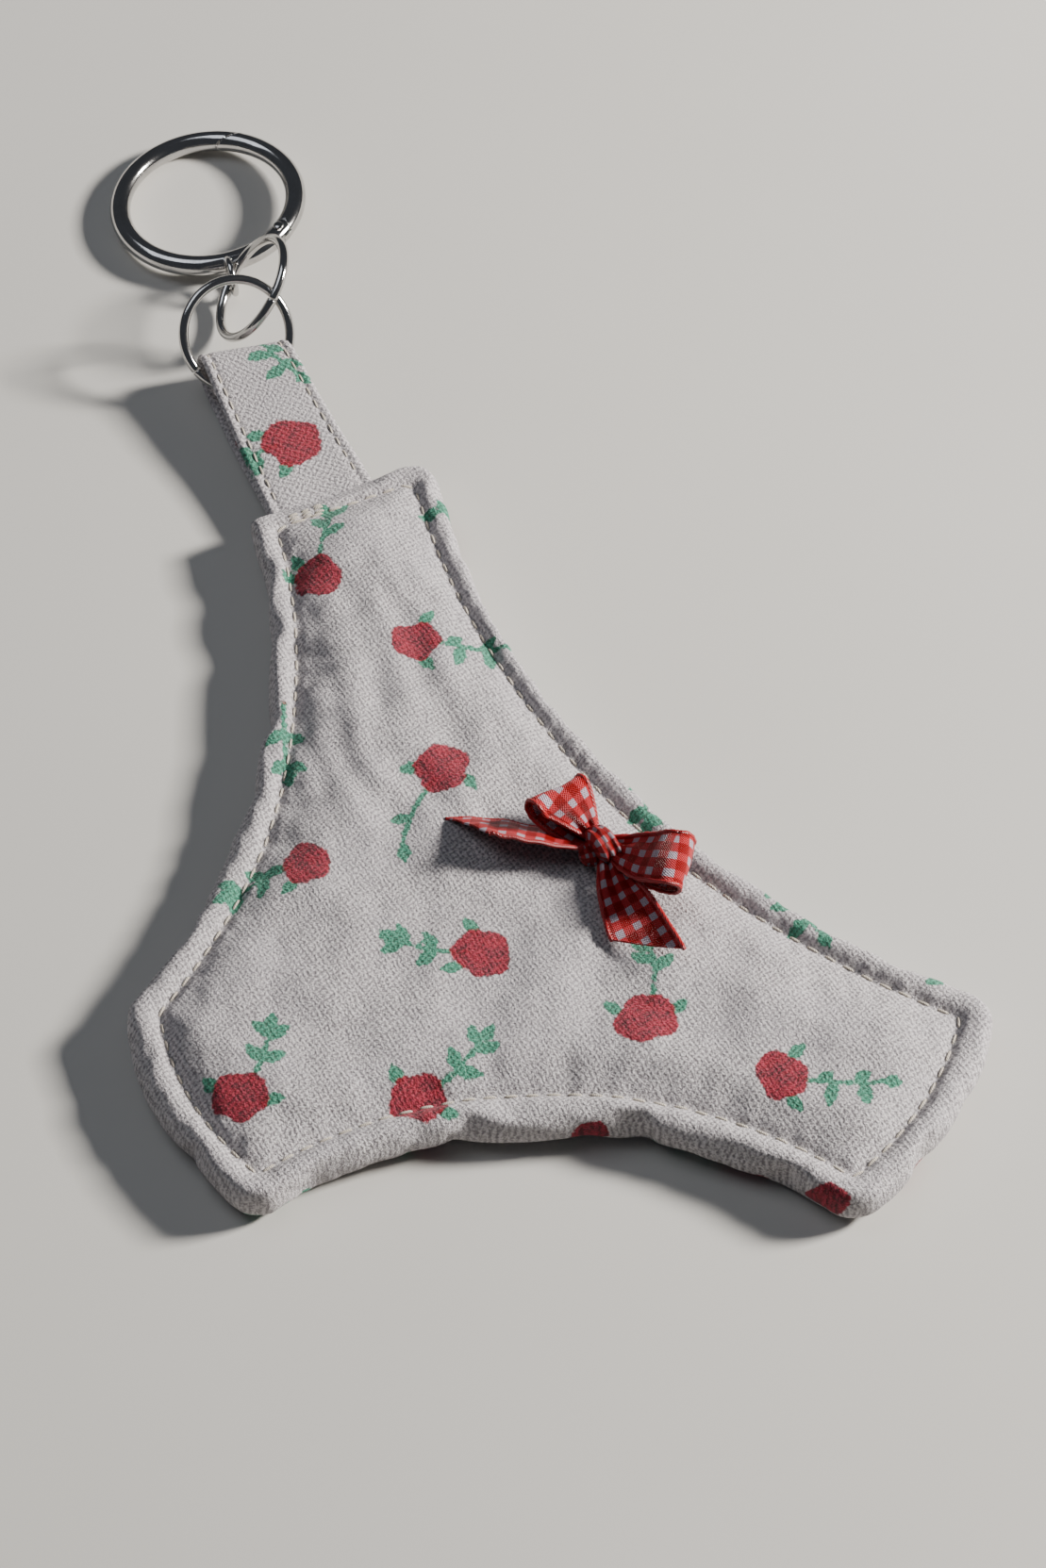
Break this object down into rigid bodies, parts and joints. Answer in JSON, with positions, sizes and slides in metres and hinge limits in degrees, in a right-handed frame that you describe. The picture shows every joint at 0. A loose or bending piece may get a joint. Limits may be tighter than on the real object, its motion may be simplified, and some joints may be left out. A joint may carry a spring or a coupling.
{
  "type": "plush keychain",
  "caption": "Flat padded printed-cloth charm with a sewn ribbon bow, a folded cloth strap and a chain of rings ending in a sprung gate ring.",
  "frame": {"origin": "a point near the middle of the charm's back face, which lies flat on the table", "axes": "+Z out of the front panel, +Y towards the strap and rings, +X to the right when looking at the front panel with the rings away from you"},
  "size_m": [0.0968, 0.1504, 0.0121],
  "materials": {
    "print_cloth": "brushed knit with printed rosebuds",
    "wadding": "soft polyester wadding",
    "thread": "matt sewing thread",
    "gingham_ribbon": "woven gingham ribbon, slightly glossy",
    "plated_metal": "nickel plated",
    "spring_steel": "plain drawn wire"
  },
  "bodies": {
    "pad": {"front_panel": "print_cloth", "back_panel": "print_cloth", "wadding": "wadding", "closing_seam": "thread", "edge_topstitch": "thread", "edge_bobbin_thread": "thread", "strap_root": "print_cloth", "strap_bartack": "thread", "bow_knot": "gingham_ribbon", "bow_left_loop": "gingham_ribbon", "bow_right_loop": "gingham_ribbon", "bow_left_tail": "gingham_ribbon", "bow_right_tail": "gingham_ribbon", "bow_tack_thread": "thread"},
    "strap": {"strap_loop": "print_cloth", "strap_stitch_left": "thread", "strap_stitch_right": "thread"},
    "strap_ring": {"strap_ring": "plated_metal"},
    "jump_ring": {"jump_ring": "plated_metal"},
    "gate_ring": {"gate_ring_frame": "plated_metal", "gate_hinge_pin": "plated_metal", "gate_spring": "spring_steel"},
    "gate_arm": {"gate_arm": "plated_metal"}
  },
  "joints": [
    {"name": "strap_bend", "type": "hinge", "parent": "pad", "child": "strap", "pos_m": [-0.02227, 0.03853, 0.0028], "axis": [0.891, 0.454, 0], "range_deg": [-30, 45]},
    {"name": "strap_ring_swing", "type": "hinge", "parent": "strap", "child": "strap_ring", "pos_m": [-0.03056, 0.0548, 0.00202], "axis": [0.891, 0.454, 0], "range_deg": [-25, 12]},
    {"name": "jump_ring_swing", "type": "hinge", "parent": "strap_ring", "child": "jump_ring", "pos_m": [-0.02884, 0.06323, 0.00868], "axis": [-0.7357, 0.3088, 0.6028], "range_deg": [-20, 20]},
    {"name": "gate_ring_swing", "type": "hinge", "parent": "jump_ring", "child": "gate_ring", "pos_m": [-0.03385, 0.07101, 0.00271], "axis": [-0.4525, -0.6704, -0.588], "range_deg": [-25, 25]},
    {"name": "gate_open", "type": "hinge", "parent": "gate_ring", "child": "gate_arm", "pos_m": [-0.0285, 0.07795, 0.00276], "axis": [-0.0639, 0.0279, 0.9976], "range_deg": [0, 30], "stiffness_Nm_per_rad": 0.01, "springref_deg": -22.92}
  ]
}
